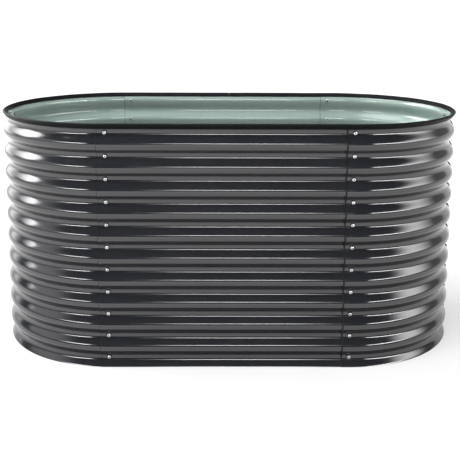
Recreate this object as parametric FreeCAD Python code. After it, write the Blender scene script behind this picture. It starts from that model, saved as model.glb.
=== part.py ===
import FreeCAD, Part
import math
import os

# Raised garden bed: an open oval wall of six corrugated steel panels, bolted together
# through their lapped ends, with a rubber edging on the rim and two braces across the soil.
# Millimetres. Origin: centre of the bed on the ground. +X along the bed, -Y to the front, +Z up.

Vector = FreeCAD.Vector

# Plan of the wall
STRAIGHT_LENGTH = 790.0    # between the seams at the two ends of a straight panel
END_RADIUS = 403.0         # round ends, over the crests of the waves

# Corrugated sheet
SHEET = 0.8                # thickness of the steel
WAVE_PITCH = 75.0          # crest to crest, up the wall
WAVE_DEPTH = 18.0          # crest to valley, both on the middle of the sheet
WAVE_BEND_RADIUS = 20.0    # of each crest and valley, on the middle of the sheet
BOTTOM_MARGIN = 29.0       # lowest bolt row above the sheet's bottom edge
TOP_MARGIN = 27.0          # sheet's top edge above the highest bolt row

# Lapped seams
LAP_WIDTH = 54.0           # overlap of two panels, centred on the bolts
LAP_CLEARANCE = 0.1        # between lapped sheets where they come closest
BOLT_ROWS = 11             # one bolt in every valley
HOLE_DIAMETER = 7.0

# Fasteners
THREAD_DIAMETER = 6.0
THREAD_CLEARANCE = 0.05    # between the shank and each bore that it is screwed into
BOLT_LENGTH = 14.0         # below the head
HEAD_DIAMETER = 12.5
HEAD_HEIGHT = 3.4
HEAD_RIM = 0.9             # upright edge below the dome of the head
SOCKET_ACROSS_FLATS = 4.0
SOCKET_DEPTH = 2.0
SHANK_CHAMFER = 0.6
SEAL_DIAMETER = 15.0       # rubber washer under the head
SEAL_BORE = 6.6
SEAL_THICKNESS = 2.2       # from the bottom of the valley to the head
WASHER_DIAMETER = 14.0     # steel washer inside the bed
WASHER_BORE = 6.4
WASHER_THICKNESS = 1.2
NUT_ACROSS_FLATS = 10.0
NUT_HEIGHT = 5.0
NUT_CHAMFER_ANGLE = 30.0
SEAT_CLEARANCE = 0.1       # between the curved wall and what is clamped against it

# Cross braces
BRACE_DIAMETER = 10.0
BRACE_ROW = 6              # bolt row that holds the braces, counted from the ground
BRACE_BORE_DEPTH = 16.0    # threaded hole in each end

# Rubber edging
EDGING_WIDTH = 9.0
EDGING_LEG = 14.0          # down each side of the sheet, along its slope
EDGING_CROWN = 3.0         # over the sheet's top edge
EDGING_CLEARANCE = 0.15    # round the lapped sheets inside it
EDGING_CROWN_ROUNDING = 2.6
EDGING_LEG_ROUNDING = 1.2
EDGING_JOINT = 1.0         # gap where the two ends of the strip meet

# Worked out from the sizes above
SHEET_HEIGHT = BOTTOM_MARGIN + (BOLT_ROWS - 1) * WAVE_PITCH + TOP_MARGIN
HALF_PITCH = WAVE_PITCH / 2
PURE_BEND_RADIUS = (HALF_PITCH ** 2 + WAVE_DEPTH ** 2) / (4 * WAVE_DEPTH)
BEND_ROOM = 0.95           # share of that radius which still leaves a straight slope
ROUNDING_ROOM = 0.45       # share of a wall that the rounding on each side of it may take
BEND_RADIUS = min(WAVE_BEND_RADIUS, BEND_ROOM * PURE_BEND_RADIUS)
BEND_SPAN = 2 * BEND_RADIUS - WAVE_DEPTH
SLOPE = math.atan2(HALF_PITCH, BEND_SPAN) - math.acos(2 * BEND_RADIUS / math.hypot(HALF_PITCH, BEND_SPAN))
CREST_RADIUS = END_RADIUS - SHEET / 2
VALLEY_RADIUS = CREST_RADIUS - WAVE_DEPTH
LAP_STEP = (SHEET + LAP_CLEARANCE) / math.cos(SLOPE)
DRIFT = LAP_STEP / 2       # each end of a panel stands this far outside or inside the middle line
LAP_ANGLE = math.degrees(LAP_WIDTH / 2 / END_RADIUS)
SEAM_X = STRAIGHT_LENGTH / 2
OUTER_FACE = VALLEY_RADIUS + DRIFT + SHEET / 2
INNER_FACE = VALLEY_RADIUS - DRIFT - SHEET / 2
HEAD_SEAT = OUTER_FACE + SEAL_THICKNESS
WASHER_SEAT = INNER_FACE - SEAT_CLEARANCE
NUT_SEAT = WASHER_SEAT - WASHER_THICKNESS - SEAT_CLEARANCE
ROW_HEIGHTS = [BOTTOM_MARGIN + row * WAVE_PITCH for row in range(BOLT_ROWS)]

FRONT, RIGHT, BACK, LEFT = -90.0, 0.0, 90.0, 180.0    # directions in plan, in degrees

# Each seam lies on a round end's centre line, in the given direction from that end's centre.
SEAMS = {
    "front_left": (-SEAM_X, FRONT),
    "front_right": (SEAM_X, FRONT),
    "right_end": (SEAM_X, RIGHT),
    "back_right": (SEAM_X, BACK),
    "back_left": (-SEAM_X, BACK),
    "left_end": (-SEAM_X, LEFT),
}


def export(shape, node):
    shape.exportStep("parts/" + node + ".step")


def turned(shape, degrees):
    """A copy turned about the vertical axis through the origin."""
    copy = shape.copy()
    copy.rotate(Vector(0, 0, 0), Vector(0, 0, 1), degrees)
    return copy


def moved(shape, x, y, z):
    copy = shape.copy()
    copy.translate(Vector(x, y, z))
    return copy


# ---- corrugated sheet ----

def bend_arc(centre_r, centre_z, radius, side):
    """End and middle points of one crest (side 1) or valley (side -1), cut off at the sheet's edges."""
    low = math.asin(max(-1.0, min(1.0, -centre_z / radius)))
    high = math.asin(max(-1.0, min(1.0, (SHEET_HEIGHT - centre_z) / radius)))
    low = max(-SLOPE, low)
    high = min(SLOPE, high)
    if low >= high:
        return None
    angles = (low, (low + high) / 2, high)
    return [Vector(centre_r + side * radius * math.cos(angle), 0, centre_z + radius * math.sin(angle))
            for angle in angles]


def wave_arcs(offset):
    """The bends of a line that follows the sheet at a constant offset, from the bottom up."""
    arcs = []
    for half_wave in range(-3, 2 * BOLT_ROWS + 2):
        centre_z = BOTTOM_MARGIN + half_wave * HALF_PITCH
        if half_wave % 2:
            arc = bend_arc(CREST_RADIUS - BEND_RADIUS, centre_z, BEND_RADIUS + offset, 1)
        else:
            arc = bend_arc(VALLEY_RADIUS + BEND_RADIUS, centre_z, BEND_RADIUS - offset, -1)
        if arc:
            arcs.append((arc, 1 if half_wave % 2 else -1))
    return arcs


def wave_edges(offset):
    """Arcs and straight slopes of that line, with each cut end on the sheet's edge."""
    arcs = wave_arcs(offset)
    first, first_side = arcs[0]
    last, last_side = arcs[-1]
    run_in = Vector(first[0].x - first_side * first[0].z * math.tan(SLOPE), 0, 0)
    rise = SHEET_HEIGHT - last[2].z
    run_out = Vector(last[2].x - last_side * rise * math.tan(SLOPE), 0, SHEET_HEIGHT)
    edges = []
    here = run_in
    for arc, side in arcs:
        if here.distanceToPoint(arc[0]) > 1e-6:
            edges.append(Part.makeLine(here, arc[0]))
        edges.append(Part.Arc(*arc).toShape())
        here = arc[2]
    if here.distanceToPoint(run_out) > 1e-6:
        edges.append(Part.makeLine(here, run_out))
        here = run_out
    return edges, edges[0].Vertexes[0].Point, here


def sheet_section():
    """Cross-section of the sheet, in the XZ plane, with X as the distance from the end's centre."""
    outer, outer_bottom, outer_top = wave_edges(SHEET / 2)
    inner, inner_bottom, inner_top = wave_edges(-SHEET / 2)
    ends = [Part.makeLine(outer_top, inner_top), Part.makeLine(inner_bottom, outer_bottom)]
    return Part.Face(Part.Wire(Part.__sortEdges__(outer + inner + ends)))


def round_run(section, centre_x, start, sweep):
    """The section carried round an end's centre, from one direction through an angle."""
    solid = turned(section, start).revolve(Vector(0, 0, 0), Vector(0, 0, 1), sweep)
    return moved(solid, centre_x, 0, 0)


def straight_run(section, start_x, length, side=FRONT):
    """The section carried along the front or the back of the bed."""
    return moved(turned(section, side), start_x, 0, 0).extrude(Vector(length, 0, 0))


def joined(runs):
    solid = runs[0].fuse(runs[1:])
    return solid.Solids[0] if len(solid.Solids) == 1 else solid


def seam_holes(names):
    """Clearance holes through both sheets of the named seams."""
    drill_length = 4 * WAVE_DEPTH
    drill = Part.makeCylinder(HOLE_DIAMETER / 2, drill_length, Vector(0, 0, -drill_length / 2))
    return [at_seam(drill, name, VALLEY_RADIUS, height) for name in names for height in ROW_HEIGHTS]


def front_straight_panel(section):
    """Its left end stands outside the wall's middle line and its right end inside it."""
    panel = joined([
        round_run(section, -SEAM_X, FRONT - LAP_ANGLE, LAP_ANGLE),
        straight_run(section, -SEAM_X, STRAIGHT_LENGTH),
        round_run(section, SEAM_X, FRONT, LAP_ANGLE),
    ])
    swing = math.degrees(math.atan2(DRIFT, SEAM_X))
    panel.rotate(Vector(0, -VALLEY_RADIUS, 0), Vector(0, 0, 1), swing)
    return panel.cut(seam_holes(["front_left", "front_right"]))


def front_left_panel(section):
    """It goes under the straight panel in front, and over the back panel at the end."""
    panel = joined([
        round_run(section, -SEAM_X, LEFT - LAP_ANGLE, 90 + LAP_ANGLE),
        straight_run(section, -SEAM_X, LAP_WIDTH / 2),
    ])
    panel.translate(Vector(-DRIFT, DRIFT, 0))
    return panel.cut(seam_holes(["front_left", "left_end"]))


def front_right_panel(section):
    """It goes over the straight panel in front, and under the back panel at the end."""
    panel = joined([
        straight_run(section, SEAM_X - LAP_WIDTH / 2, LAP_WIDTH / 2),
        round_run(section, SEAM_X, FRONT, 90 + LAP_ANGLE),
    ])
    panel.translate(Vector(-DRIFT, -DRIFT, 0))
    return panel.cut(seam_holes(["front_right", "right_end"]))


# ---- fasteners, drawn about +Z with the head seat or the clamped face at z = 0 ----

def at_seam(shape, seam, radius, height):
    """A copy with its +Z pointing out of the wall, at a distance from the end's centre."""
    centre_x, direction = SEAMS[seam]
    copy = shape.copy()
    copy.rotate(Vector(0, 0, 0), Vector(1, 0, 0), 90)
    copy.rotate(Vector(0, 0, 0), Vector(0, 0, 1), direction - FRONT)
    angle = math.radians(direction)
    return moved(copy, centre_x + radius * math.cos(angle), radius * math.sin(angle), height)


def hexagon_prism(across_flats, height, bottom):
    corner = across_flats / math.sqrt(3)
    angles = [math.radians(60 * side) for side in range(7)]
    points = [Vector(corner * math.cos(angle), corner * math.sin(angle), bottom) for angle in angles]
    return Part.Face(Part.makePolygon(points)).extrude(Vector(0, 0, height))


def revolved(points):
    """A solid of revolution about Z, from radius and height pairs."""
    outline = [Vector(radius, 0, height) for radius, height in points]
    return Part.Face(Part.makePolygon(outline + outline[:1])).revolve(Vector(0, 0, 0), Vector(0, 0, 1), 360)


def bolt():
    head_radius = HEAD_DIAMETER / 2
    shank_radius = THREAD_DIAMETER / 2 - THREAD_CLEARANCE
    dome_rise = HEAD_HEIGHT - HEAD_RIM
    crown = Vector(0, 0, HEAD_HEIGHT)
    rim = Vector(head_radius, 0, HEAD_RIM)
    dome_radius = (head_radius ** 2 + dome_rise ** 2) / (2 * dome_rise)
    half_angle = math.asin(head_radius / dome_radius) / 2
    middle = Vector(dome_radius * math.sin(half_angle), 0,
                    HEAD_HEIGHT - dome_radius * (1 - math.cos(half_angle)))
    corners = [rim, Vector(head_radius, 0, 0), Vector(shank_radius, 0, 0),
               Vector(shank_radius, 0, SHANK_CHAMFER - BOLT_LENGTH),
               Vector(shank_radius - SHANK_CHAMFER, 0, -BOLT_LENGTH), Vector(0, 0, -BOLT_LENGTH), crown]
    outline = Part.Wire([Part.Arc(crown, middle, rim).toShape()] + Part.makePolygon(corners).Edges)
    solid = Part.Face(outline).revolve(Vector(0, 0, 0), Vector(0, 0, 1), 360)
    return solid.cut(hexagon_prism(SOCKET_ACROSS_FLATS, HEAD_HEIGHT, HEAD_HEIGHT - SOCKET_DEPTH))


def seal():
    """Rubber washer: flat under the head, and shaped to the valley on the other side."""
    valley_bend = BEND_RADIUS - SHEET / 2
    disc = Part.makeCylinder(SEAL_DIAMETER / 2, SEAL_THICKNESS, Vector(0, 0, -SEAL_THICKNESS))
    valley = Part.makeCylinder(valley_bend - SEAT_CLEARANCE, SEAL_DIAMETER,
                               Vector(-SEAL_DIAMETER / 2, 0, valley_bend - SEAL_THICKNESS), Vector(1, 0, 0))
    bore = Part.makeCylinder(SEAL_BORE / 2, 2 * SEAL_THICKNESS, Vector(0, 0, -1.5 * SEAL_THICKNESS))
    return disc.common(valley).cut(bore)


def washer():
    disc = Part.makeCylinder(WASHER_DIAMETER / 2, WASHER_THICKNESS, Vector(0, 0, -WASHER_THICKNESS))
    return disc.cut(Part.makeCylinder(WASHER_BORE / 2, WASHER_THICKNESS, Vector(0, 0, -WASHER_THICKNESS)))


def nut():
    """Hexagon nut with both ends chamfered at its corners."""
    corner = NUT_ACROSS_FLATS / math.sqrt(3)
    flat = NUT_ACROSS_FLATS / 2
    chamfer = (corner - flat) * math.tan(math.radians(NUT_CHAMFER_ANGLE))
    envelope = revolved([(0, 0), (flat, 0), (corner, -chamfer), (corner, chamfer - NUT_HEIGHT),
                         (flat, -NUT_HEIGHT), (0, -NUT_HEIGHT)])
    blank = hexagon_prism(NUT_ACROSS_FLATS, NUT_HEIGHT, -NUT_HEIGHT).common(envelope)
    return blank.cut(Part.makeCylinder(THREAD_DIAMETER / 2, NUT_HEIGHT, Vector(0, 0, -NUT_HEIGHT)))


def has_brace(seam, row):
    return SEAMS[seam][1] in (FRONT, BACK) and row == BRACE_ROW


def seam_group(shape, seam, radius, skip_braced=False):
    """One copy in each bolt row of a seam."""
    copies = [at_seam(shape, seam, radius, height) for row, height in enumerate(ROW_HEIGHTS, 1)
              if not (skip_braced and has_brace(seam, row))]
    return Part.makeCompound(copies)


# ---- cross brace ----

def cross_brace(centre_x):
    """Round bar from the front wall to the back one, tapped at both ends for the seam bolts."""
    front_end = Vector(centre_x, -NUT_SEAT, ROW_HEIGHTS[BRACE_ROW - 1])
    along = Vector(0, 1, 0)
    bar = Part.makeCylinder(BRACE_DIAMETER / 2, 2 * NUT_SEAT, front_end, along)
    front_bore = Part.makeCylinder(THREAD_DIAMETER / 2, BRACE_BORE_DEPTH, front_end, along)
    back_bore = moved(front_bore, 0, 2 * NUT_SEAT - BRACE_BORE_DEPTH, 0)
    return bar.cut([front_bore, back_bore])


# ---- rubber edging ----

def rounded_outline(corners):
    """Closed wire in the XZ plane through (x, z, rounding) corners."""
    points = [Vector(x, 0, z) for x, z, rounding in corners]
    edges = []
    ends = []
    for index, corner in enumerate(points):
        rounding = corners[index][2]
        back = (points[index - 1] - corner).normalize()
        ahead = (points[(index + 1) % len(points)] - corner).normalize()
        if not rounding:
            ends.append((corner, corner))
            continue
        half_angle = back.getAngle(ahead) / 2
        reach = rounding / math.tan(half_angle)
        inward = (back + ahead).normalize()
        start, finish = corner + back * reach, corner + ahead * reach
        middle = corner + inward * (rounding / math.sin(half_angle) - rounding)
        edges.append(Part.Arc(start, middle, finish).toShape())
        ends.append((start, finish))
    for (_, finish), (start, _) in zip(ends[-1:] + ends[:-1], ends):
        edges.append(Part.makeLine(finish, start))
    return Part.Wire(Part.__sortEdges__(edges))


def edging_section():
    """U-section astride the sheet's sloping top edge, in the same plane as the sheet's section."""
    edge = wave_edges(0.0)[2]
    half = EDGING_WIDTH / 2
    slot = SHEET / 2 + DRIFT * math.cos(SLOPE) + EDGING_CLEARANCE
    slot_end = SHEET / 2 * math.tan(SLOPE) + DRIFT * math.sin(SLOPE) + EDGING_CLEARANCE
    crown_rounding = min(EDGING_CROWN_ROUNDING, ROUNDING_ROOM * EDGING_WIDTH)
    leg_rounding = min(EDGING_LEG_ROUNDING, ROUNDING_ROOM * (half - slot))
    section = Part.Face(rounded_outline([
        (-half, -EDGING_LEG, leg_rounding),
        (-half, EDGING_CROWN, crown_rounding),
        (half, EDGING_CROWN, crown_rounding),
        (half, -EDGING_LEG, leg_rounding),
        (slot, -EDGING_LEG, leg_rounding),
        (slot, slot_end, 0),
        (-slot, slot_end, 0),
        (-slot, -EDGING_LEG, leg_rounding),
    ]))
    section.rotate(Vector(0, 0, 0), Vector(0, 1, 0), math.degrees(SLOPE))
    return moved(section, edge.x, 0, edge.z)


def rim_edging():
    section = edging_section()
    loop = joined([
        straight_run(section, -SEAM_X, STRAIGHT_LENGTH),
        round_run(section, SEAM_X, FRONT, 180),
        straight_run(section, -SEAM_X, STRAIGHT_LENGTH, BACK),
        round_run(section, -SEAM_X, BACK, 180),
    ])
    joint = Part.makeBox(EDGING_JOINT, 2 * WAVE_DEPTH + 2 * EDGING_WIDTH, 4 * EDGING_LEG)
    joint.translate(Vector(-EDGING_JOINT / 2, VALLEY_RADIUS - EDGING_WIDTH, SHEET_HEIGHT - 2 * EDGING_LEG))
    return loop.cut(joint)


def main():
    os.makedirs("parts", exist_ok=True)
    section = sheet_section()
    panels = {"straight": front_straight_panel(section),
              "left": front_left_panel(section),
              "right": front_right_panel(section)}
    export(panels["straight"], "front_straight_panel")
    export(panels["left"], "front_left_curved_panel")
    export(panels["right"], "front_right_curved_panel")
    export(turned(panels["straight"], 180), "back_straight_panel")
    export(turned(panels["left"], 180), "back_right_curved_panel")
    export(turned(panels["right"], 180), "back_left_curved_panel")
    for seam in SEAMS:
        export(seam_group(bolt(), seam, HEAD_SEAT), seam + "_bolts")
        export(seam_group(seal(), seam, HEAD_SEAT), seam + "_seals")
        export(seam_group(washer(), seam, WASHER_SEAT), seam + "_washers")
        export(seam_group(nut(), seam, NUT_SEAT, skip_braced=True), seam + "_nuts")
    export(cross_brace(-SEAM_X), "left_cross_brace")
    export(cross_brace(SEAM_X), "right_cross_brace")
    export(rim_edging(), "rim_edging")


main()
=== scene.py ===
import math
import random

import bpy
from mathutils import Matrix, Vector, noise


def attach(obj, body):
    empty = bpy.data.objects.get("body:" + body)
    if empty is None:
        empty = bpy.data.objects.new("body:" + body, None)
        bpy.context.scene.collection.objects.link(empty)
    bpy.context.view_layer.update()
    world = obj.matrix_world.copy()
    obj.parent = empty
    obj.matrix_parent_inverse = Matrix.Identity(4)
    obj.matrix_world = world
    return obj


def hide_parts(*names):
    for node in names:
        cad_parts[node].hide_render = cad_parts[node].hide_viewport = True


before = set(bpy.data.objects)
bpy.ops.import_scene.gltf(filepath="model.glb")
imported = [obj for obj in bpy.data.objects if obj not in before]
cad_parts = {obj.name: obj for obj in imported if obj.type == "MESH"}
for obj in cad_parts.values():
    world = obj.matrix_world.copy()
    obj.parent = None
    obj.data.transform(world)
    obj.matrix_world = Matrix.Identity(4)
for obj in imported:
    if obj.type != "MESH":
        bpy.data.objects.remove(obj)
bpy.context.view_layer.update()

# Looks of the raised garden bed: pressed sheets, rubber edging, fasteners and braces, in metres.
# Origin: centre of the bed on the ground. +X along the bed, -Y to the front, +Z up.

MM = 0.001

# Plan of the wall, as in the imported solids
STRAIGHT_LENGTH = 790.0 * MM
END_RADIUS = 403.0 * MM
SHEET = 0.8 * MM
WAVE_PITCH = 75.0 * MM
WAVE_DEPTH = 18.0 * MM
BEND_RADIUS = 20.0 * MM
BOTTOM_MARGIN = 29.0 * MM
TOP_MARGIN = 27.0 * MM
LAP_WIDTH = 54.0 * MM
LAP_CLEARANCE = 0.1 * MM
BOLT_ROWS = 11
BRACE_ROW = 6

# Fasteners: a bore is a radius too, and a flat is half the width across flats
THREAD_RADIUS = 2.95 * MM
THREAD_PITCH = 1.0 * MM
THREAD_DEPTH = 0.35 * MM
TIP_CHAMFER = 0.6 * MM
BOLT_LENGTH = 14.0 * MM
HEAD_RADIUS = 6.25 * MM
HEAD_HEIGHT = 3.4 * MM
HEAD_RIM = 0.9 * MM
HEAD_EASE = 0.25 * MM
SOCKET_FLAT = 2.0 * MM
SOCKET_EASE = 0.25 * MM
SOCKET_MOUTH = 0.45 * MM
SOCKET_DEPTH = 2.0 * MM
SOCKET_TIP_RADIUS = 0.4 * MM
SOCKET_TIP_DEPTH = 0.35 * MM
SEAL_RADIUS = 7.5 * MM
SEAL_BORE = 3.3 * MM
SEAL_THICKNESS = 2.2 * MM
SEAL_CLEARANCE = 0.02 * MM
SEAL_EASE_TOP = 0.35 * MM
SEAL_EASE_BOTTOM = 0.3 * MM
WASHER_RADIUS = 7.0 * MM
WASHER_BORE = 3.2 * MM
WASHER_THICKNESS = 1.2 * MM
WASHER_ROLL = 0.35 * MM
WASHER_ROLL_INSET = 0.1 * MM
WASHER_ROLL_RISE = 0.12 * MM
NUT_FLAT = 5.0 * MM
NUT_FACE_RADIUS = NUT_FLAT * 0.95
NUT_CHAMFER_RADIUS = NUT_FLAT * 0.96
NUT_HEIGHT = 5.0 * MM
NUT_CHAMFER_ANGLE = math.radians(30)
NUT_BORE_CLEARANCE = 0.05 * MM
COUNTERSINK = 0.35 * MM
COUNTERSINK_DEPTH = 0.4 * MM
SEAT_CLEARANCE = 0.1 * MM

# Cross braces
BRACE_RADIUS = 5.0 * MM
BRACE_WAIST = 0.1 * MM      # off the radius between the threads
BRACE_THREAD = 30.0 * MM
BRACE_THREAD_END = 1.0 * MM
BRACE_BORE = 3.0 * MM       # a radius
BRACE_BORE_DEPTH = 8.0 * MM

# Rubber edging
EDGING_WIDTH = 8.7 * MM     # a little less than the solid's, to stay within its faceted box
EDGING_LEG = 14.0 * MM
EDGING_CROWN = 3.0 * MM
EDGING_CLEARANCE = 0.15 * MM
EDGING_CROWN_ROUNDING = 2.6 * MM
EDGING_LEG_ROUNDING = 1.2 * MM
EDGING_JOINT = 1.0 * MM
EDGING_SAG = 0.6 * MM
EDGING_SAG_WAVE = 110.0 * MM
EDGING_RIPPLE = 0.15 * MM
EDGING_RIPPLE_WAVE = 35.0 * MM

# Worked out from the sizes above
SHEET_HEIGHT = BOTTOM_MARGIN + (BOLT_ROWS - 1) * WAVE_PITCH + TOP_MARGIN
HALF_PITCH = WAVE_PITCH / 2
BEND_SPAN = 2 * BEND_RADIUS - WAVE_DEPTH
SLOPE = math.atan2(HALF_PITCH, BEND_SPAN) - math.acos(2 * BEND_RADIUS / math.hypot(HALF_PITCH, BEND_SPAN))
CREST_RADIUS = END_RADIUS - SHEET / 2
VALLEY_RADIUS = CREST_RADIUS - WAVE_DEPTH
DRIFT = (SHEET + LAP_CLEARANCE) / math.cos(SLOPE) / 2
LAP_ANGLE = LAP_WIDTH / 2 / END_RADIUS
SEAM_X = STRAIGHT_LENGTH / 2
HEAD_SEAT = VALLEY_RADIUS + DRIFT + SHEET / 2 + SEAL_THICKNESS
WASHER_SEAT = VALLEY_RADIUS - DRIFT - SHEET / 2 - SEAT_CLEARANCE
NUT_SEAT = WASHER_SEAT - WASHER_THICKNESS - SEAT_CLEARANCE
ROW_HEIGHTS = [BOTTOM_MARGIN + row * WAVE_PITCH for row in range(BOLT_ROWS)]

FRONT, RIGHT, BACK, LEFT = (math.radians(angle) for angle in (-90, 0, 90, 180))
SEAMS = {
    "front_left": (-SEAM_X, FRONT),
    "front_right": (SEAM_X, FRONT),
    "right_end": (SEAM_X, RIGHT),
    "back_right": (SEAM_X, BACK),
    "back_left": (-SEAM_X, BACK),
    "left_end": (-SEAM_X, LEFT),
}

# How finely the meshes follow those shapes
ARC_STEPS = 8              # along each crest or valley
SLOPE_STEPS = 2            # along each slope between them
TURN_STEP = math.radians(1.5)
RUN_STEP = 20.0 * MM
EDGE_STEPS = [0.0, 1.2, 2.6, 4.0, 5.5, 8.0, 12.0, 18.0]    # millimetres from a sheet's cut edge
CORNER_STEPS = 5           # round a corner of the edging
FASTENER_STEPS = 36        # round a bolt, seal or washer
NUT_STEPS = 48
BRACE_STEPS = 40
THREAD_STEPS = 4           # rings for each turn of a thread
DOME_SHARES = (0.96, 0.85, 0.72, 0.58, 0.47)    # of a head's radius, where its dome has rings
SEAL_BULGE_SHARES = (0.7, 0.3)                  # of its depth, between which a seal's rim bulges
SHARP_ANGLE = math.radians(32)                  # a sharper edge isn't shaded smooth

# How far real sheet strays from the ideal one
LAP_LIFT = 0.8 * MM        # of a lap's free edge off the sheet below, halfway up each slope
LAP_LIFT_REACH = 16.0 * MM
END_LIFT = 4.6 * MM        # the same at the middle of the round ends
FLAT_WAVINESS = 0.03 * MM  # of the straight panels
ROUND_WAVINESS = 0.07 * MM
LONG_WAVE_ALONG = 160.0 * MM
LONG_WAVE_UP = 90.0 * MM
LONG_WAVE_SHARE = 0.7      # of the waviness
SHORT_WAVE_ALONG = 55.0 * MM
SHORT_WAVE_UP = 45.0 * MM
SHORT_WAVE_SHARE = 0.3     # of the waviness
CREST_SHARE = 0.4          # of the waviness, by which each crest stands back
CALM_SHARE = 0.8           # of the waviness, missing beside both bolted edges
CALM_REACH = 60.0 * MM

# Painted shadow of the gap along a lap's free edge: a dark matt band on the sheet
DARK_EDGE = 6.4 * MM       # outside the bed on a curved panel
DARK_EDGE_THIN = 1.6 * MM  # outside on a straight one
DARK_EDGE_INSIDE = 1.3 * MM

# Seeds, which keep every random part the same in each run
SPIN_SEED = 7
PANEL_SEED_STEP = 3.7
SHORT_WAVE_SEED = 9.0
SAG_SEED = 21.0
RIPPLE_SEED = 33.0


# ---- camera ----

CAMERA_PLACE = Vector((-0.0138, -3.036, 1.2326))
CAMERA_YAW = 0.00534       # radians, as are the next two
CAMERA_TILT = 0.18089
CAMERA_ROLL = 0.0035
CAMERA_LENS = 66.93
CAMERA_SENSOR = 36.0
CAMERA_SHIFT = -0.19
CAMERA_REACH = 400.0


def add_camera():
    data = bpy.data.cameras.new("view")
    data.lens = CAMERA_LENS
    data.sensor_width = CAMERA_SENSOR
    data.shift_y = CAMERA_SHIFT
    data.clip_end = CAMERA_REACH
    camera = bpy.data.objects.new("view", data)
    bpy.context.collection.objects.link(camera)
    ahead = Vector((math.sin(CAMERA_YAW) * math.cos(CAMERA_TILT),
                    math.cos(CAMERA_YAW) * math.cos(CAMERA_TILT), -math.sin(CAMERA_TILT)))
    level = Vector((math.cos(CAMERA_YAW), -math.sin(CAMERA_YAW), 0))
    above = level.cross(ahead)
    right = level * math.cos(CAMERA_ROLL) + above * math.sin(CAMERA_ROLL)
    up = right.cross(ahead)
    turn = Matrix((right, up, -ahead)).transposed().to_4x4()
    camera.matrix_world = Matrix.Translation(CAMERA_PLACE) @ turn
    bpy.context.scene.camera = camera


# ---- node materials ----

MIX_COLOUR_A, MIX_COLOUR_B, MIX_COLOUR_RESULT = 6, 7, 2    # a mix node's sockets for colours


class Nodes:
    """Short calls for the nodes of one tree: a material's, the world's or a lamp's."""

    def __init__(self, tree):
        self.tree = tree

    def node(self, kind, **settings):
        made = self.tree.nodes.new(kind)
        for key, value in settings.items():
            setattr(made, key, value)
        return made

    def feed(self, source, target):
        """Links a socket to the target, or sets the target to a plain value."""
        if hasattr(source, "is_linked"):
            self.tree.links.new(source, target)
        else:
            target.default_value = source

    def span(self, source, low, high, start=0.35, end=0.65, curve="LINEAR"):
        """A number from low to high, as source goes from start to end."""
        made = self.node("ShaderNodeMapRange", clamp=True, interpolation_type=curve)
        limits = {"From Min": start, "From Max": end, "To Min": low, "To Max": high}
        for socket, value in limits.items():
            made.inputs[socket].default_value = value
        self.feed(source, made.inputs["Value"])
        return made.outputs["Result"]

    def math(self, operation, first, second):
        made = self.node("ShaderNodeMath", operation=operation)
        self.feed(first, made.inputs[0])
        self.feed(second, made.inputs[1])
        return made.outputs[0]


class Recipe(Nodes):
    """A node material, with the constants of its shader."""

    def __init__(self, name, **constants):
        self.material = bpy.data.materials.new(name)
        self.material.use_nodes = True
        super().__init__(self.material.node_tree)
        self.shader = self.tree.nodes["Principled BSDF"]
        for socket, value in constants.items():
            self.shader.inputs[socket.replace("_", " ")].default_value = value
        self.place = self.node("ShaderNodeTexCoord").outputs["Object"]

    def stretched(self, scale):
        """Object coordinates, scaled along each axis."""
        mapping = self.node("ShaderNodeMapping")
        mapping.inputs["Scale"].default_value = scale
        self.feed(self.place, mapping.inputs["Vector"])
        return mapping.outputs["Vector"]

    def noise(self, scale, detail, roughness=0.5, place=None):
        made = self.node("ShaderNodeTexNoise")
        made.inputs["Scale"].default_value = scale
        made.inputs["Detail"].default_value = detail
        made.inputs["Roughness"].default_value = roughness
        self.feed(place or self.place, made.inputs["Vector"])
        return made.outputs["Fac"]

    def ramp(self, source, low, high, start=0.35, end=0.65):
        """Colours from low to high, as source goes from start to end."""
        made = self.node("ShaderNodeValToRGB")
        stops = made.color_ramp.elements
        for stop, position, colour in ((stops[0], start, low), (stops[1], end, high)):
            stop.position = position
            stop.color = tuple(colour) + (1,)
        self.feed(source, made.inputs["Fac"])
        return made.outputs["Color"]

    def mixed(self, factor, shade, colour):
        """A colour socket, with a plain colour mixed into it by factor."""
        made = self.node("ShaderNodeMix", data_type="RGBA")
        self.feed(factor, made.inputs["Factor"])
        self.feed(shade, made.inputs[MIX_COLOUR_A])
        self.feed(colour + (1,), made.inputs[MIX_COLOUR_B])
        return made.outputs[MIX_COLOUR_RESULT]

    def bump(self, height, strength, distance):
        made = self.node("ShaderNodeBump")
        made.inputs["Strength"].default_value = strength
        made.inputs["Distance"].default_value = distance
        self.feed(height, made.inputs["Height"])
        return made.outputs["Normal"]

    def finish(self, colour, roughness=None, normal=None):
        for source, socket in ((colour, "Base Color"), (roughness, "Roughness"), (normal, "Normal")):
            if source:
                self.feed(source, self.shader.inputs[socket])
        return self.material


ANTHRACITE = (0.0165, 0.0174, 0.0216)
ANTHRACITE_PALE = (0.0190, 0.0200, 0.0245)
DUST = (0.10, 0.10, 0.095)
SAGE = (0.324, 0.414, 0.382)
SAGE_DEEP = (0.304, 0.392, 0.359)
ZINC_DULL = (0.10, 0.10, 0.10)
ZINC_CLEAN = (0.32, 0.32, 0.33)
# Painted seam shadow along a lap's free edge
SEAM_SHADOW_BLACK = (0.004, 0.004, 0.005)
SEAM_SHADOW_GREY = (0.009, 0.009, 0.010)
RUBBER = (0.0055, 0.0060, 0.0078)
RUBBER_BLOOM = (0.0100, 0.0106, 0.0130)
# Painted shade for a bolt's rim, socket and thread
RECESS_SHADE_DARK = (0.012, 0.012, 0.012)
RECESS_SHADE_PALE = (0.05, 0.048, 0.045)
PLATE = (0.86, 0.87, 0.88)
PLATE_DEEP = (0.66, 0.67, 0.69)


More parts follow.
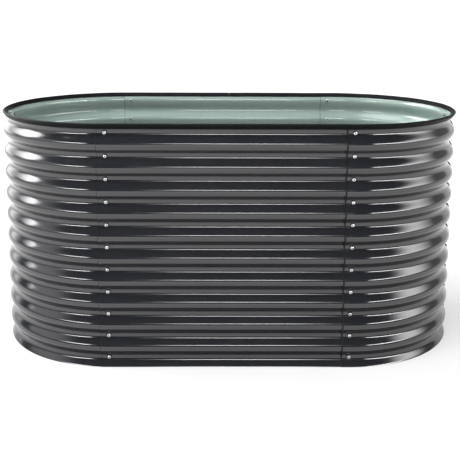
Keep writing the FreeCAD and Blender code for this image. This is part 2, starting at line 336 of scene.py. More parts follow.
def glossy_anthracite():
    """Baked coat outside: near black, glossy, with orange peel and a trace of dust."""
    coat = Recipe("glossy_anthracite", IOR=1.77)
    shade = coat.ramp(coat.noise(scale=7.0, detail=4.0), ANTHRACITE, ANTHRACITE_PALE)
    dust = coat.span(coat.noise(scale=60.0, detail=6.0, roughness=0.7), 0.0, 0.05, start=0.52, end=0.80)
    specks = coat.span(coat.noise(scale=900.0, detail=2.0), 0.0, 0.25, start=0.68, end=0.78)
    colour = coat.mixed(coat.math("ADD", dust, specks), shade, DUST)
    roughness = coat.span(coat.noise(scale=24.0, detail=5.0, roughness=0.6), 0.10, 0.15)
    peel = coat.bump(coat.noise(scale=420.0, detail=2.0), strength=0.03, distance=0.5 * MM)
    return coat.finish(colour, roughness, peel)


def pale_sage():
    """Coat inside the bed: pale grey green, less glossy, with faint streaks down the wall."""
    coat = Recipe("pale_sage", IOR=1.6, Coat_Weight=0.6, Coat_Roughness=0.05)
    down_the_wall = coat.stretched((40.0, 40.0, 4.0))
    streaks = coat.noise(scale=1.0, detail=4.0, roughness=0.6, place=down_the_wall)
    colour = coat.ramp(streaks, SAGE_DEEP, SAGE, start=0.3, end=0.7)
    roughness = coat.span(coat.noise(scale=30.0, detail=5.0, roughness=0.6), 0.06, 0.10)
    peel = coat.bump(coat.noise(scale=380.0, detail=2.0), strength=0.03, distance=0.5 * MM)
    return coat.finish(colour, roughness, peel)


def bare_edge():
    """Sheared edge of the sheet: dull zinc with darker patches."""
    steel = Recipe("bare_edge", Metallic=0.7)
    colour = steel.ramp(steel.noise(scale=240.0, detail=4.0), ZINC_DULL, ZINC_CLEAN)
    roughness = steel.span(steel.noise(scale=500.0, detail=3.0), 0.35, 0.6)
    burrs = steel.bump(steel.noise(scale=900.0, detail=2.0), strength=0.3, distance=0.2 * MM)
    return steel.finish(colour, roughness, burrs)


def painted_seam_shadow():
    """Painted shadow along a lap's free edge: a near black matt band where the lap's gap would cast shade.
    """
    coat = Recipe("painted_seam_shadow", IOR=1.36)
    colour = coat.ramp(coat.noise(scale=160.0, detail=4.0), SEAM_SHADOW_BLACK, SEAM_SHADOW_GREY)
    roughness = coat.span(coat.noise(scale=300.0, detail=3.0), 0.35, 0.55)
    beads = coat.bump(coat.noise(scale=700.0, detail=2.0), strength=0.3, distance=0.3 * MM)
    return coat.finish(colour, roughness, beads)


def black_rubber(name, grain):
    """Extruded rubber: black, satin, finely grained, greyer where it is handled."""
    rubber = Recipe(name, IOR=1.18)
    bloom = rubber.noise(scale=45.0, detail=5.0, roughness=0.65)
    colour = rubber.ramp(bloom, RUBBER, RUBBER_BLOOM)
    roughness = rubber.span(rubber.noise(scale=120.0, detail=4.0), 0.40, 0.55)
    fine = rubber.bump(rubber.noise(scale=grain, detail=3.0), strength=0.25, distance=0.3 * MM)
    return rubber.finish(colour, roughness, fine)


def painted_recess_shade():
    """Painted shade on a bolt's rim, socket and thread: near black where the head's side, its socket and
    the thread lie in shade.
    """
    steel = Recipe("painted_recess_shade", Metallic=0.4)
    colour = steel.ramp(steel.noise(scale=900.0, detail=3.0), RECESS_SHADE_DARK, RECESS_SHADE_PALE)
    roughness = steel.span(steel.noise(scale=700.0, detail=3.0), 0.45, 0.7)
    grit = steel.bump(steel.noise(scale=1500.0, detail=2.0), strength=0.3, distance=0.1 * MM)
    return steel.finish(colour, roughness, grit)


def bright_zinc(name, grain, smoothest, roughest, tint, metallic=1.0):
    """Zinc plate on steel: bright, faintly mottled, with fine scuffs."""
    steel = Recipe(name, Metallic=metallic)
    mottle = steel.noise(scale=320.0, detail=4.0, roughness=0.6)
    pale, deep = [[tint * level for level in colour] for colour in (PLATE, PLATE_DEEP)]
    colour = steel.ramp(mottle, deep, pale, start=0.3, end=0.6)
    roughness = steel.span(steel.noise(scale=grain, detail=4.0), smoothest, roughest)
    scuffs = steel.bump(steel.noise(scale=grain * 2, detail=2.0), strength=0.15, distance=0.2 * MM)
    return steel.finish(colour, roughness, scuffs)


# ---- mesh code ----

def make_piece(name, points, faces, materials, which=None):
    """An object, smooth except at its sharp edges; which gives each face's material."""
    mesh = bpy.data.meshes.new(name)
    mesh.from_pydata(points, [], faces)
    for material in materials:
        mesh.materials.append(material)
    if which:
        mesh.polygons.foreach_set("material_index", which)
    mesh.polygons.foreach_set("use_smooth", [True] * len(mesh.polygons))
    mesh.set_sharp_from_angle(angle=SHARP_ANGLE)
    mesh.validate()
    mesh.update()
    piece = bpy.data.objects.new(name, mesh)
    bpy.context.collection.objects.link(piece)
    return piece


def dress(piece, slot, *nodes):
    """The piece rides with the bed in place of the nodes. The slot is not used."""
    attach(piece, "root")
    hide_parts(*nodes)


def ring_points(radius, height, count):
    """A level ring; radius and height are numbers, or functions of the angle."""
    points = []
    for step in range(count):
        angle = 2 * math.pi * step / count
        reach = radius(angle) if callable(radius) else radius
        rise = height(angle) if callable(height) else height
        points.append((reach * math.cos(angle), reach * math.sin(angle), rise))
    return points


def skinned(rings, looped):
    """Points and faces of a skin over rings, closed in a loop or by a point at each end."""
    count = len(rings[0])
    points = [point for ring in rings for point in ring]
    faces = []
    last = len(rings) if looped else len(rings) - 1
    for index in range(last):
        here, ahead = index * count, (index + 1) % len(rings) * count
        for step in range(count):
            after = (step + 1) % count
            faces.append((here + step, here + after, ahead + after, ahead + step))
    if not looped:
        for start, upper in ((0, False), (len(points) - count, True)):
            ring = points[start:start + count]
            middle = len(points)
            points.append((0.0, 0.0, sum(point[2] for point in ring) / count))
            for step in range(count):
                face = (start + step, start + (step + 1) % count, middle)
                faces.append(face if upper else face[::-1])
    return points, faces


def single(mesh):
    """The points and faces, with the first material on every face."""
    points, faces = mesh
    return points, faces, [0] * len(faces)


def hexagon(flat):
    """Radius of a hexagon as a function of the angle."""
    def reach(angle):
        aside = (angle + math.pi / 6) % (math.pi / 3) - math.pi / 6
        return flat / math.cos(aside)
    return reach


# ---- corrugated sheet ----

def bend_points(centre_r, centre_z, side):
    """Middle line of one crest (side 1) or valley (side -1).
    Each point is a radius, a height and the slope of the outward normal."""
    points = []
    for step in range(ARC_STEPS + 1):
        angle = SLOPE * (2 * step / ARC_STEPS - 1)
        points.append((centre_r + side * BEND_RADIUS * math.cos(angle),
                       centre_z + BEND_RADIUS * math.sin(angle), side * angle))
    return points


def blended(first, second, share):
    """The values a share of the way from the first to the second."""
    return tuple(a + (b - a) * share for a, b in zip(first, second))


def wave_line():
    """The sheet's middle line from its bottom edge to its top edge."""
    line = []
    for half_wave in range(-1, 2 * BOLT_ROWS):
        centre_z = BOTTOM_MARGIN + half_wave * HALF_PITCH
        crest = half_wave % 2
        centre_r = CREST_RADIUS - BEND_RADIUS if crest else VALLEY_RADIUS + BEND_RADIUS
        bend = bend_points(centre_r, centre_z, 1 if crest else -1)
        if line:
            last = line[-1]
            line += [blended(last, bend[0], step / SLOPE_STEPS) for step in range(1, SLOPE_STEPS)]
        line += bend
    return trimmed(line)


def trimmed(line):
    """The line cut off at the sheet's bottom and top edges."""
    kept = []
    for below, above in zip(line, line[1:]):
        for edge in (0.0, SHEET_HEIGHT):
            if below[1] < edge < above[1]:
                kept.append(blended(below, above, (edge - below[1]) / (above[1] - below[1])))
        if 0.0 <= above[1] <= SHEET_HEIGHT:
            kept.append(above)
    return sorted(kept, key=lambda point: point[1])


LINE = wave_line()


def crestness(radius):
    """0 in a valley and 1 on a crest."""
    return (radius - VALLEY_RADIUS) / WAVE_DEPTH


class Run:
    """A line in plan. Each of its stations is the X of a base point on the bed's long axis,
    the direction outwards from there and the distance along the run."""

    def __init__(self):
        self.stations = []
        self.length = 0.0

    def add(self, base_x, direction, step):
        """One more station, a step on from the last one."""
        self.length += step
        self.stations.append((base_x, direction, self.length))

    def turn(self, centre_x, start, end):
        """On round one of the ends."""
        steps = max(1, round((end - start) / TURN_STEP))
        for index in range(steps + 1):
            if index or not self.stations:
                step = (end - start) / steps * END_RADIUS if index else 0.0
                self.add(centre_x, start + (end - start) * index / steps, step)

    def straight(self, start_x, end_x, direction=FRONT):
        """On along one of the sides."""
        steps = max(1, round(abs(end_x - start_x) / RUN_STEP))
        for index in range(steps + 1):
            if index or not self.stations:
                step = abs(end_x - start_x) / steps if index else 0.0
                self.add(start_x + (end_x - start_x) * index / steps, direction, step)

    def at(self, distance):
        """A station at any distance along the run."""
        for before, after in zip(self.stations, self.stations[1:]):
            if before[2] <= distance <= after[2]:
                return blended(before, after, (distance - before[2]) / (after[2] - before[2]))
        return self.stations[-1]

    def refined(self):
        """The stations, with closer ones near both cut edges."""
        near = [step * MM for step in EDGE_STEPS]
        inner = [station for station in self.stations if near[-1] < station[2] < self.length - near[-1]]
        start = [self.at(step) for step in near]
        end = [self.at(self.length - step) for step in reversed(near)]
        return start + inner + end


def fade(distance, reach):
    """1 at no distance, falling smoothly to 0 at the reach."""
    share = max(0.0, 1.0 - distance / reach)
    return share * share


OUTSIDE, INSIDE, CUT, SHADOWED_SEAM = range(4)      # a panel's materials, in the order of add_panels


class Panel:
    """One sheet: its plan and place, the lift of its first edge, its band of painted seam shadow and its
    waviness.
    """

    def __init__(self, name, run, place, start_lift, dark_edge, waviness, seed):
        self.name = name
        self.run = run
        self.place = place
        self.start_lift = start_lift
        self.dark_edge = dark_edge
        self.waviness = waviness
        self.seed = seed

    def stray(self, distance, radius, height):
        """How far the sheet stands outside its ideal surface."""
        crest = crestness(radius)
        lift = self.start_lift * fade(distance, LAP_LIFT_REACH) * 4 * crest * (1 - crest)
        near_edge = fade(distance, CALM_REACH) + fade(self.run.length - distance, CALM_REACH)
        calm = 1.0 - CALM_SHARE * min(1.0, near_edge)
        long_place = (distance / LONG_WAVE_ALONG, height / LONG_WAVE_UP, self.seed)
        short_place = (distance / SHORT_WAVE_ALONG, height / SHORT_WAVE_UP, self.seed + SHORT_WAVE_SEED)
        long_wave = LONG_WAVE_SHARE * noise.noise(Vector(long_place))
        short_wave = SHORT_WAVE_SHARE * noise.noise(Vector(short_place))
        return lift + calm * self.waviness * (long_wave + short_wave - CREST_SHARE * crest)

    def skins(self):
        """The stations, and the points of the outside and the inside, row by row up the wall."""
        stations = self.run.refined()
        outside, inside = [], []
        for radius, height, slope in LINE:
            for base_x, direction, distance in stations:
                stray = self.stray(distance, radius, height)
                for skin, offset in ((outside, SHEET / 2), (inside, -SHEET / 2)):
                    reach = radius + offset * math.cos(slope) + stray
                    level = min(SHEET_HEIGHT, max(0.0, height + offset * math.sin(slope)))
                    skin.append(self.place @ Vector((base_x + reach * math.cos(direction),
                                                     reach * math.sin(direction), level)))
        return stations, outside, inside

    def build(self, materials):
        """The piece: both skins, closed along the sheet's four cut edges."""
        stations, outside, inside = self.skins()
        rows, columns, total = len(LINE), len(stations), len(outside)
        faces, which = [], []
        for row in range(rows - 1):
            for column in range(columns - 1):
                corner = row * columns + column
                quad = (corner, corner + 1, corner + columns + 1, corner + columns)
                middle = (stations[column][2] + stations[column + 1][2]) / 2
                faces.append(quad)
                # faces near a lap's free edge get the painted seam shadow, outside and inside
                which.append(SHADOWED_SEAM if middle < self.dark_edge else OUTSIDE)
                faces.append(tuple(index + total for index in reversed(quad)))
                which.append(SHADOWED_SEAM if self.run.length - middle < DARK_EDGE_INSIDE else INSIDE)
        bottom = list(range(columns))
        right = [row * columns + columns - 1 for row in range(rows)]
        top = [index + (rows - 1) * columns for index in reversed(bottom)]
        left = [row * columns for row in reversed(range(rows))]
        for side in (bottom, right, top, left):
            for here, ahead in zip(side, side[1:]):
                faces.append((ahead, here, here + total, ahead + total))
                which.append(CUT)
        return make_piece(self.name, outside + inside, faces, materials, which)


def swung():
    """Turns a straight panel so that one end stands outside the middle line and the other inside it."""
    pivot = Matrix.Translation((0, -VALLEY_RADIUS, 0))
    return pivot @ Matrix.Rotation(math.atan2(DRIFT, SEAM_X), 4, "Z") @ pivot.inverted()


def straight_run():
    """From the lap at the front left seam to the one at the front right seam."""
    run = Run()
    run.turn(-SEAM_X, FRONT - LAP_ANGLE, FRONT)
    run.straight(-SEAM_X, SEAM_X)
    run.turn(SEAM_X, FRONT, FRONT + LAP_ANGLE)
    return run


def left_run():
    """From the lap at the left end round to a straight lap past the front left seam."""
    run = Run()
    run.turn(-SEAM_X, LEFT - LAP_ANGLE, LEFT + math.pi / 2)
    run.straight(-SEAM_X, LAP_WIDTH / 2 - SEAM_X, LEFT + math.pi / 2)
    return run


def right_run():
    """From a straight lap before the front right seam round to the lap at the right end."""
    run = Run()
    run.straight(SEAM_X - LAP_WIDTH / 2, SEAM_X)
    run.turn(SEAM_X, FRONT, RIGHT + LAP_ANGLE)
    return run


def add_panels():
    materials = [glossy_anthracite(), pale_sage(), bare_edge(), painted_seam_shadow()]
    half_turn = Matrix.Rotation(math.pi, 4, "Z")
    left_place = Matrix.Translation((-DRIFT, DRIFT, 0))
    right_place = Matrix.Translation((-DRIFT, -DRIFT, 0))
    flat = (DARK_EDGE_THIN, FLAT_WAVINESS)
    bent = (DARK_EDGE, ROUND_WAVINESS)
    plans = [
        ("front_straight_panel", straight_run(), swung(), LAP_LIFT, flat),
        ("front_left_curved_panel", left_run(), left_place, END_LIFT, bent),
        ("front_right_curved_panel", right_run(), right_place, LAP_LIFT, bent),
        ("back_straight_panel", straight_run(), half_turn @ swung(), LAP_LIFT, flat),
        ("back_right_curved_panel", left_run(), half_turn @ left_place, END_LIFT, bent),
        ("back_left_curved_panel", right_run(), half_turn @ right_place, LAP_LIFT, bent),
    ]
    for index, (node, run, place, start_lift, (dark_edge, waviness)) in enumerate(plans):
        seed = PANEL_SEED_STEP * index
        panel = Panel("sheet_" + node, run, place, start_lift, dark_edge, waviness, seed)
        dress(panel.build(materials), "painted_sheet", node)


# ---- rubber edging ----

def rounded_corner(before, corner, after, rounding):
    """Points of the arc that rounds one corner of an outline."""
    back = (before - corner).normalized()
    ahead = (after - corner).normalized()
    half = back.angle(ahead) / 2
    start = corner + back * rounding / math.tan(half)
    end = corner + ahead * rounding / math.tan(half)
    centre = corner + (back + ahead).normalized() * rounding / math.sin(half)
    points = []
    for step in range(CORNER_STEPS + 1):
        chord = start.lerp(end, step / CORNER_STEPS) - centre
        points.append(centre + chord.normalized() * rounding)
    return points


def edging_outline():
    """U-section astride the sheet's sloping top edge: distances from the end's centre and heights."""
    half = EDGING_WIDTH / 2
    slot = SHEET / 2 + DRIFT * math.cos(SLOPE) + EDGING_CLEARANCE
    slot_end = SHEET / 2 * math.tan(SLOPE) + DRIFT * math.sin(SLOPE) + EDGING_CLEARANCE
    leg, crown, sharp = EDGING_LEG_ROUNDING, EDGING_CROWN_ROUNDING, 0.0
    corners = [(-half, -EDGING_LEG, leg), (-half, EDGING_CROWN, crown),
               (half, EDGING_CROWN, crown), (half, -EDGING_LEG, leg),
               (slot, -EDGING_LEG, leg), (slot, slot_end, sharp),
               (-slot, slot_end, sharp), (-slot, -EDGING_LEG, leg)]
    places = [Vector((across, along)) for across, along, rounding in corners]
    outline = []
    for index, (across, along, rounding) in enumerate(corners):
        if rounding:
            after = places[(index + 1) % len(places)]
            outline += rounded_corner(places[index - 1], places[index], after, rounding)
        else:
            outline.append(places[index])
    lean = Matrix.Rotation(-SLOPE, 2)
    rim = Vector((LINE[-1][0], SHEET_HEIGHT))
    return [lean @ point + rim for point in outline]


def edging_run():
    """Once round the rim, from one side of the joint at the back to the other."""
    run = Run()
    run.straight(-EDGING_JOINT / 2, -SEAM_X, BACK)
    run.turn(-SEAM_X, BACK, BACK + math.pi)
    run.straight(-SEAM_X, SEAM_X, BACK + math.pi)
    run.turn(SEAM_X, BACK + math.pi, BACK + 2 * math.pi)
    run.straight(SEAM_X, EDGING_JOINT / 2, BACK + 2 * math.pi)
    return run


def edging_sag(distance):
    """How far the pressed-on strip sits below its highest line."""
    slow = noise.noise(Vector((distance / EDGING_SAG_WAVE, 0.0, SAG_SEED)))
    quick = noise.noise(Vector((distance / EDGING_RIPPLE_WAVE, 0.0, RIPPLE_SEED)))
    return max(0.0, EDGING_SAG * (0.5 + slow) + EDGING_RIPPLE * quick)


def add_edging():
    outline = edging_outline()
    rings = []
    for base_x, direction, distance in edging_run().stations:
        sag = edging_sag(distance)
        rings.append([(base_x + reach * math.cos(direction), reach * math.sin(direction), level - sag)
                      for reach, level in outline])
    count = len(outline)
    points = [point for ring in rings for point in ring]
    faces = []
    for index in range(len(rings) - 1):
        here, ahead = index * count, (index + 1) * count
        for step in range(count):
            after = (step + 1) % count
            faces.append((here + step, ahead + step, ahead + after, here + after))
    faces.append(tuple(range(count)))
    faces.append(tuple(reversed(range(len(points) - count, len(points)))))
    piece = make_piece("edging_strip", points, faces, [black_rubber("edging_rubber", grain=900.0)])
    dress(piece, "edging_rubber", "rim_edging")


# ---- fasteners, drawn about +Z with the head seat or the clamped face at z = 0 ----

def thread_radius(height, radius):
    """Radius of a turned thread as a function of the angle."""
    def reach(angle):
        turn = (height / THREAD_PITCH + angle / (2 * math.pi)) % 1.0
        return radius - THREAD_DEPTH * abs(2 * turn - 1)
    return reach


def threaded_rings(bottom, top, radius, count):
    steps = round((top - bottom) / THREAD_PITCH * THREAD_STEPS)
    heights = [bottom + (top - bottom) * step / steps for step in range(steps + 1)]
    return [ring_points(thread_radius(height, radius), height, count) for height in heights]


def dome_height(reach):
    """Height of a bolt's domed head at this distance from its middle."""
    rise = HEAD_HEIGHT - HEAD_RIM
    radius = (HEAD_RADIUS ** 2 + rise ** 2) / (2 * rise)
    return HEAD_HEIGHT - radius + math.sqrt(radius ** 2 - reach ** 2)


BRIGHT, RECESS = range(2)                 # a bolt's materials, in the order of add_all_fasteners


def bolt_mesh():
    """Domed head with a hexagon socket on a threaded shank. Only the dome, within its rim, is bright; the
    rest carries painted shade.
    """
    count = FASTENER_STEPS
    rings = [ring_points(THREAD_RADIUS - TIP_CHAMFER, -BOLT_LENGTH, count)]
    rings += threaded_rings(TIP_CHAMFER - BOLT_LENGTH, -SEAL_THICKNESS, THREAD_RADIUS, count)
    rings += [ring_points(THREAD_RADIUS, 0.0, count),
              ring_points(HEAD_RADIUS - HEAD_EASE, 0.0, count),
              ring_points(HEAD_RADIUS, HEAD_EASE, count),
              ring_points(HEAD_RADIUS, HEAD_RIM - HEAD_EASE, count)]
    for share in DOME_SHARES:
        rings.append(ring_points(HEAD_RADIUS * share, dome_height(HEAD_RADIUS * share), count))
    bright = range((len(rings) - len(DOME_SHARES) + 1) * count, len(rings) * count)
    lip, socket = hexagon(SOCKET_FLAT + SOCKET_EASE), hexagon(SOCKET_FLAT)
    socket_floor = HEAD_HEIGHT - SOCKET_DEPTH
    rings += [ring_points(lip, lambda angle: dome_height(lip(angle)), count),
              ring_points(socket, HEAD_HEIGHT - SOCKET_MOUTH, count),
              ring_points(socket, socket_floor, count),
              ring_points(SOCKET_TIP_RADIUS, socket_floor - SOCKET_TIP_DEPTH, count)]
    points, faces = skinned(rings, looped=False)
    return points, faces, [BRIGHT if min(face) in bright else RECESS for face in faces]


def seal_floor(reach):
    """Height of the valley's surface under the seal, at this distance, as a function of the angle."""
    bend = BEND_RADIUS - SHEET / 2

    def height(angle):
        aside = reach * math.sin(angle)
        return bend - math.sqrt(bend ** 2 - aside ** 2) - SEAL_THICKNESS + SEAL_CLEARANCE
    return height


def seal_mesh():
    """Rubber washer: flat under the head, shaped to the valley below, and bulging at its rim."""
    count = FASTENER_STEPS
    foot = SEAL_RADIUS - SEAL_EASE_BOTTOM
    low, high = SEAL_BULGE_SHARES
    depth = seal_floor(SEAL_RADIUS)
    rings = [ring_points(SEAL_BORE, 0.0, count), ring_points(SEAL_BORE, seal_floor(SEAL_BORE), count),
             ring_points(foot, seal_floor(foot), count),
             ring_points(SEAL_RADIUS, lambda angle: depth(angle) * low, count),
             ring_points(SEAL_RADIUS, lambda angle: depth(angle) * high, count),
             ring_points(SEAL_RADIUS - SEAL_EASE_TOP, 0.0, count)]
    return single(skinned(rings[::-1], looped=True))


def washer_mesh():
    """Steel washer with one rolled and one sharp edge."""
    count = FASTENER_STEPS
    rings = [ring_points(WASHER_BORE, 0.0, count), ring_points(WASHER_BORE, -WASHER_THICKNESS, count),
             ring_points(WASHER_RADIUS - WASHER_ROLL, -WASHER_THICKNESS, count),
             ring_points(WASHER_RADIUS - WASHER_ROLL_INSET, WASHER_ROLL_RISE - WASHER_THICKNESS, count),
             ring_points(WASHER_RADIUS, WASHER_ROLL - WASHER_THICKNESS, count),
             ring_points(WASHER_RADIUS, 0.0, count)]
    return single(skinned(rings[::-1], looped=True))


def nut_mesh():
    """Hexagon nut, chamfered at both ends, with a threaded and countersunk bore."""
    count = NUT_STEPS
    outline = hexagon(NUT_FLAT)
    bore = THREAD_RADIUS + NUT_BORE_CLEARANCE

    def chamfer(angle):
        return (outline(angle) - NUT_CHAMFER_RADIUS) * math.tan(NUT_CHAMFER_ANGLE)

    rings = [ring_points(NUT_FACE_RADIUS, 0.0, count),
             ring_points(outline, lambda angle: -chamfer(angle), count),
             ring_points(outline, lambda angle: chamfer(angle) - NUT_HEIGHT, count),
             ring_points(NUT_FACE_RADIUS, -NUT_HEIGHT, count),
             ring_points(bore + COUNTERSINK, -NUT_HEIGHT, count)]
    rings += threaded_rings(COUNTERSINK_DEPTH - NUT_HEIGHT, -COUNTERSINK_DEPTH, bore + THREAD_DEPTH, count)
    rings.append(ring_points(bore + COUNTERSINK, 0.0, count))
    return single(skinned(rings[::-1], looped=True))


def seam_place(seam, radius, height, spin):
    """Places a fastener at a seam with its +Z pointing out of the wall."""
    centre_x, direction = SEAMS[seam]
    stand = Matrix.Rotation(math.pi / 2, 4, "X")
    turn = Matrix.Rotation(direction - FRONT, 4, "Z")
    x, y = centre_x + radius * math.cos(direction), radius * math.sin(direction)
    return Matrix.Translation((x, y, height)) @ turn @ stand @ Matrix.Rotation(spin, 4, "Z")


def has_brace(seam, row):
    """Whether a brace takes the nut's place here."""
    return SEAMS[seam][1] in (FRONT, BACK) and row == BRACE_ROW


def add_fasteners(kind, mesh, radius, materials, slot, spins=None, skip_braced=False):
    """One joined piece at each seam. A mesh's last item gives each face's material.
    Spins, if given, turn each fastener at random about its own axis."""
    shape, shape_faces, shape_which = mesh
    for seam in SEAMS:
        points, faces, which = [], [], []
        for row, height in enumerate(ROW_HEIGHTS, 1):
            spin = spins.uniform(0, math.pi / 3) if spins else 0.0
            if skip_braced and has_brace(seam, row):
                continue
            place = seam_place(seam, radius, height, spin)
            start = len(points)
            points += [place @ Vector(point) for point in shape]
            faces += [tuple(index + start for index in face) for face in shape_faces]
            which += shape_which
        node = seam + "_" + kind
        dress(make_piece("fitted_" + node, points, faces, materials, which), slot, node)


def add_all_fasteners():
    spins = random.Random(SPIN_SEED)
    bolt_zinc = bright_zinc("bolt_zinc", grain=700.0, smoothest=0.22, roughest=0.36, tint=0.97)
    nut_zinc = bright_zinc("nut_zinc", grain=500.0, smoothest=0.24, roughest=0.38, tint=0.76, metallic=0.8)
    seal_rubber = black_rubber("seal_rubber", grain=1500.0)
    recess = painted_recess_shade()
    add_fasteners("bolts", bolt_mesh(), HEAD_SEAT, [bolt_zinc, recess], "zinc_fasteners", spins)
    add_fasteners("seals", seal_mesh(), HEAD_SEAT, [seal_rubber], "seal_rubber")
    add_fasteners("washers", washer_mesh(), WASHER_SEAT, [nut_zinc], "zinc_fasteners")
    add_fasteners("nuts", nut_mesh(), NUT_SEAT, [nut_zinc], "zinc_fasteners", spins, skip_braced=True)


# ---- cross braces ----

def brace_mesh():
    """Bar along Z, centred, with a rolled thread, a chamfer and a bore at each end."""
    count = BRACE_STEPS
    half = NUT_SEAT
    waist = BRACE_RADIUS - BRACE_WAIST
    rings = [ring_points(BRACE_BORE, half - BRACE_BORE_DEPTH, count),
             ring_points(BRACE_BORE, half, count),
             ring_points(BRACE_RADIUS - TIP_CHAMFER, half, count)]
    rings += threaded_rings(half - BRACE_THREAD, half - TIP_CHAMFER, BRACE_RADIUS, count)[::-1]
    rings.append(ring_points(waist, half - BRACE_THREAD - BRACE_THREAD_END, count))
    middle = [ring_points(waist, half * share, count) for share in (0.5, 0.0, -0.5)]
    mirrored = [[(x, y, -z) for x, y, z in ring] for ring in reversed(rings)]
    return skinned((rings + middle + mirrored)[::-1], looped=False)


def add_braces():
    points, faces = brace_mesh()
    zinc = bright_zinc("brace_zinc", grain=260.0, smoothest=0.30, roughest=0.48, tint=0.85)
    lie = Matrix.Rotation(math.pi / 2, 4, "X")
    for name, centre_x in (("left_cross_brace", -SEAM_X), ("right_cross_brace", SEAM_X)):
        place = Matrix.Translation((centre_x, 0, ROW_HEIGHTS[BRACE_ROW - 1])) @ lie
        placed = [place @ Vector(point) for point in points]
        dress(make_piece("bar_" + name, placed, faces, [zinc]), "zinc_brace", name)


# ---- studio ----

FLOOR_SIZE = 120.0
FLOOR_DROP = 0.4 * MM      # below the foot of the bed
PAPER = (0.42, 0.42, 0.42)
PAPER_PALE = (0.44, 0.44, 0.44)
GLOW_NEAR = 0.46           # the paper's own light, to eye and mirror, up to this far from the origin
GLOW_NEAR_REACH = 0.7
GLOW_FAR = 1.0             # the same from this distance on
GLOW_FAR_REACH = 5.0


def seen_by_eye_or_mirror(nodes):
    """1 for rays that show a surface directly, in a gloss or through glass."""
    path = nodes.node("ShaderNodeLightPath").outputs
    seen = nodes.math("MAXIMUM", path["Is Camera Ray"], path["Is Glossy Ray"])
    return nodes.math("MAXIMUM", seen, path["Is Transmission Ray"])


def floor_paper():
    """Pale matt paper with a light of its own, which lights nothing else."""
    paper = Recipe("floor_paper", Roughness=0.9, Specular_IOR_Level=0.0)
    paper.finish(paper.ramp(paper.noise(scale=3.0, detail=2.0), PAPER, PAPER_PALE))
    reach = paper.node("ShaderNodeVectorMath", operation="LENGTH")
    paper.feed(paper.place, reach.inputs[0])
    strength = paper.span(reach.outputs["Value"], GLOW_NEAR, GLOW_FAR, GLOW_NEAR_REACH, GLOW_FAR_REACH)
    glow = paper.node("ShaderNodeEmission")
    paper.feed(paper.math("MULTIPLY", seen_by_eye_or_mirror(paper), strength), glow.inputs["Strength"])
    both = paper.node("ShaderNodeAddShader")
    paper.feed(paper.shader.outputs[0], both.inputs[0])
    paper.feed(glow.outputs[0], both.inputs[1])
    paper.feed(both.outputs[0], paper.tree.nodes["Material Output"].inputs["Surface"])
    return paper.material


def add_floor():
    half = FLOOR_SIZE / 2
    corners = [(-half, -half, 0), (half, -half, 0), (half, half, 0), (-half, half, 0)]
    mesh = bpy.data.meshes.new("floor")
    mesh.from_pydata(corners, [], [(0, 1, 2, 3)])
    mesh.materials.append(floor_paper())
    floor = bpy.data.objects.new("floor", mesh)
    bpy.context.collection.objects.link(floor)
    floor.location.z = -FLOOR_DROP


WORLD_SOFT = 0.12          # light that the room gives matt surfaces
ROOM_DARK = 0.035          # what a gloss sees of the room above the backdrop
BACKDROP_TOP = math.sin(math.radians(11.5))    # a height on the sphere of directions
BACKDROP_TOP_IN_FRONT = 0.01
BACKDROP_SOFT = math.sin(math.radians(3.5))
BACKDROP_TURN = (-0.75, -0.35)                 # Y on that sphere, from the one top to the other


def add_world():
    """White near the horizon, lower in front of the bed than round the rest of it, and dark above."""
    world = bpy.data.worlds.new("studio")
    bpy.context.scene.world = world
    world.use_nodes = True
    nodes = Nodes(world.node_tree)
    axes = nodes.node("ShaderNodeSeparateXYZ")
    nodes.feed(nodes.node("ShaderNodeTexCoord").outputs["Generated"], axes.inputs[0])
    front, rest = BACKDROP_TURN
    top = nodes.span(axes.outputs["Y"], BACKDROP_TOP_IN_FRONT, BACKDROP_TOP, front, rest, "SMOOTHSTEP")
    above = nodes.math("SUBTRACT", axes.outputs["Z"], top)
    shown = nodes.span(above, 1.0, ROOM_DARK, -BACKDROP_SOFT, BACKDROP_SOFT / 4, "SMOOTHSTEP")
    seen = seen_by_eye_or_mirror(nodes)
    unseen = nodes.math("SUBTRACT", 1.0, seen)
    to_eye = nodes.math("MULTIPLY", seen, shown)
    to_matt = nodes.math("MULTIPLY", unseen, WORLD_SOFT)
    background = world.node_tree.nodes["Background"]
    background.inputs["Color"].default_value = (1, 1, 1, 1)
    nodes.feed(nodes.math("ADD", to_eye, to_matt), background.inputs["Strength"])


# Points of the bed that the lamps face
MIDDLE = Vector((0, 0, 0.45))
LEFT_SIDE = Vector((-0.62, -0.25, 0.45))
RIGHT_SIDE = Vector((0.62, -0.25, 0.45))
LAMP_POWER = 4             # watts per square metre, for each unit of radiance


def fade_lamp(data, low, high, lower, upper):
    """The lamp's light fades towards its four edges, over these shares of its width and height."""
    data.use_nodes = True
    nodes = Nodes(data.node_tree)
    axes = nodes.node("ShaderNodeSeparateXYZ")
    nodes.feed(nodes.node("ShaderNodeNewGeometry").outputs["Parametric"], axes.inputs[0])
    level = 1.0
    for axis, near, far in (("X", low, high), ("Y", lower, upper)):
        for dark, full in ((0.0, near), (1.0, 1.0 - far)):
            ramp = nodes.span(axes.outputs[axis], 0.0, 1.0, dark, full, "SMOOTHSTEP")
            level = nodes.math("MULTIPLY", level, ramp)
    nodes.feed(level, data.node_tree.nodes["Emission"].inputs["Strength"])


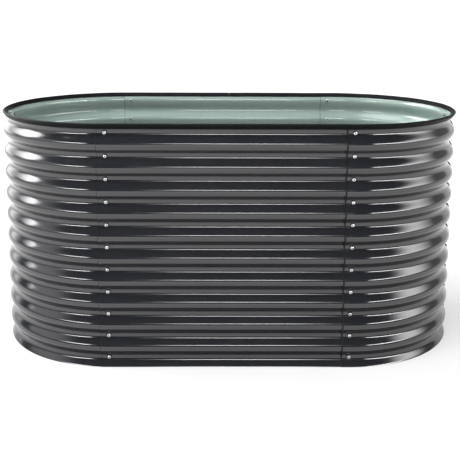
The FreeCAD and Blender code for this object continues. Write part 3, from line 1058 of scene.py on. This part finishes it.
def add_softbox(name, aim, azimuths, elevations, distance, radiance, fades):
    """A rectangular lamp that faces a point of the bed and fills these angles as seen from there.
    All are in degrees: azimuths from the front towards the right, and the fade from each edge."""
    wide, tall = [math.radians(high - low) for low, high in (azimuths, elevations)]
    data = bpy.data.lights.new(name, "AREA")
    data.shape = "RECTANGLE"
    data.size = 2 * distance * math.tan(wide / 2)
    data.size_y = 2 * distance * math.tan(tall / 2)
    data.energy = LAMP_POWER * radiance * data.size * data.size_y
    shares = [math.radians(edge) / full for edge, full in zip(fades, (wide, wide, tall, tall))]
    fade_lamp(data, *shares)
    lamp = bpy.data.objects.new(name, data)
    bpy.context.collection.objects.link(lamp)
    turn, rise = [math.radians(sum(pair) / 2) for pair in (azimuths, elevations)]
    out = Vector((math.sin(turn) * math.cos(rise), -math.cos(turn) * math.cos(rise), math.sin(rise)))
    facing = out.to_track_quat("Z", "Y").to_matrix().to_4x4()
    lamp.matrix_world = Matrix.Translation(aim + out * distance) @ facing
    lamp.visible_camera = False
    return lamp


def add_strips():
    """Narrow lamps in front, mirrored by the gloss alone as thin lines along the waves."""
    strips = [
        add_softbox("front_strip", MIDDLE, azimuths=(-9, 13), elevations=(17, 25),
                    distance=4.0, radiance=11.0, fades=(6, 6, 2, 2)),
        add_softbox("left_front_strip", LEFT_SIDE, azimuths=(-62, -23), elevations=(17, 25),
                    distance=4.0, radiance=16.0, fades=(24, 4, 2, 2)),
        add_softbox("right_front_strip", RIGHT_SIDE, azimuths=(24, 76), elevations=(16.5, 26),
                    distance=4.0, radiance=12.5, fades=(4, 26, 2, 2)),
    ]
    for strip in strips:
        strip.visible_diffuse = False


def add_side_boxes():
    """Soft boxes beside and behind the bed, mirrored as broad patches on its round ends."""
    add_softbox("left_soft", LEFT_SIDE, azimuths=(-106, -44), elevations=(8, 46),
                distance=4.2, radiance=0.8, fades=(8, 30, 14, 14))
    add_softbox("left_box", LEFT_SIDE, azimuths=(-158, -99), elevations=(16, 56),
                distance=4.0, radiance=7.5, fades=(48, 4, 18, 12))
    add_softbox("left_back_box", LEFT_SIDE, azimuths=(-166, -114), elevations=(0, 46),
                distance=4.2, radiance=1.5, fades=(16, 18, 6, 12))
    add_softbox("right_box", RIGHT_SIDE, azimuths=(56, 111), elevations=(10, 46),
                distance=4.0, radiance=4.3, fades=(24, 30, 14, 14))
    add_softbox("right_back_fill", RIGHT_SIDE, azimuths=(100, 165), elevations=(5, 50),
                distance=4.2, radiance=0.22, fades=(14, 14, 8, 12))


def add_overhead_lamps():
    """Two large soft lamps from above. The key lamp lights matt surfaces alone."""
    add_softbox("overhead", MIDDLE, azimuths=(-110, -70), elevations=(50, 102),
                distance=8.0, radiance=2.0, fades=(4, 4, 4, 4))
    key = add_softbox("key", MIDDLE, azimuths=(-54, -2), elevations=(40, 76),
                      distance=8.0, radiance=5.5, fades=(6, 6, 6, 6))
    key.visible_glossy = False


def main():
    add_camera()
    add_world()
    add_strips()
    add_side_boxes()
    add_overhead_lamps()
    add_floor()
    add_panels()
    add_edging()
    add_all_fasteners()
    add_braces()
    bpy.context.scene.view_settings.view_transform = "Standard"


main()
